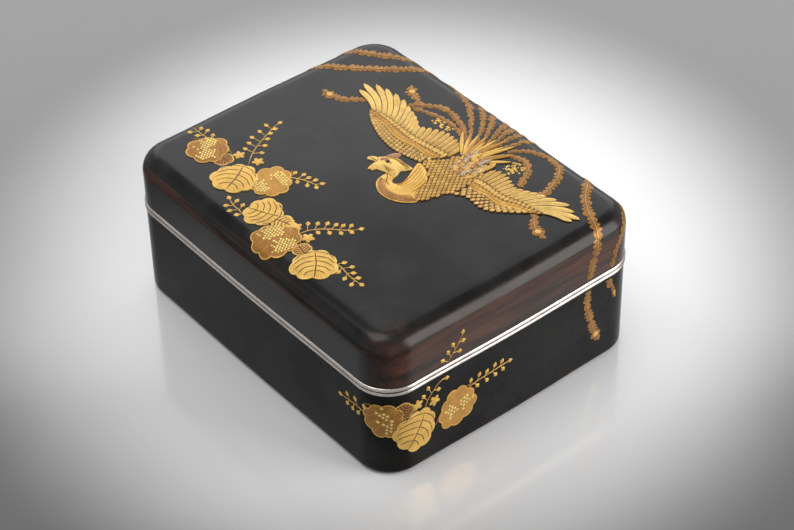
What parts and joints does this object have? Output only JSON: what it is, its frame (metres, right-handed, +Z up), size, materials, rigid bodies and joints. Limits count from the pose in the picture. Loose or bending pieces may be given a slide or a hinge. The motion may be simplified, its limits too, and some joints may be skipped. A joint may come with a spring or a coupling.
{
  "type": "lacquer box",
  "caption": "Low rectangular lacquered wooden box with rounded corners, a flush lift-off lid, metal rims at the joint and an inner riser that locates the lid.",
  "frame": {"origin": "middle of the underside", "axes": "+X along the length, +Y to the back, +Z up, the way the lid lifts"},
  "size_m": [0.1536, 0.1236, 0.0632],
  "materials": {
    "black_lacquer": "worn black lacquer, satin",
    "inner_lacquer": "dark lacquer, satin",
    "wood_core": "bare softwood",
    "rim_metal": "worn tin or silver"
  },
  "bodies": {
    "box": {"body_outer_lacquer": "black_lacquer", "body_floor_board": "wood_core", "body_front_board": "wood_core", "body_right_board": "wood_core", "body_back_board": "wood_core", "body_left_board": "wood_core", "body_inner_lacquer": "inner_lacquer", "body_metal_rim": "rim_metal", "riser_front": "inner_lacquer", "riser_right": "inner_lacquer", "riser_back": "inner_lacquer", "riser_left": "inner_lacquer"},
    "lid": {"lid_outer_lacquer": "black_lacquer", "lid_top_board": "wood_core", "lid_front_board": "wood_core", "lid_right_board": "wood_core", "lid_back_board": "wood_core", "lid_left_board": "wood_core", "lid_inner_lacquer": "inner_lacquer", "lid_metal_rim": "rim_metal"}
  },
  "joints": [
    {"name": "lid_lift", "type": "slide", "parent": "box", "child": "lid", "axis": [0, 0, 1], "range_m": [0, 0.08]}
  ]
}
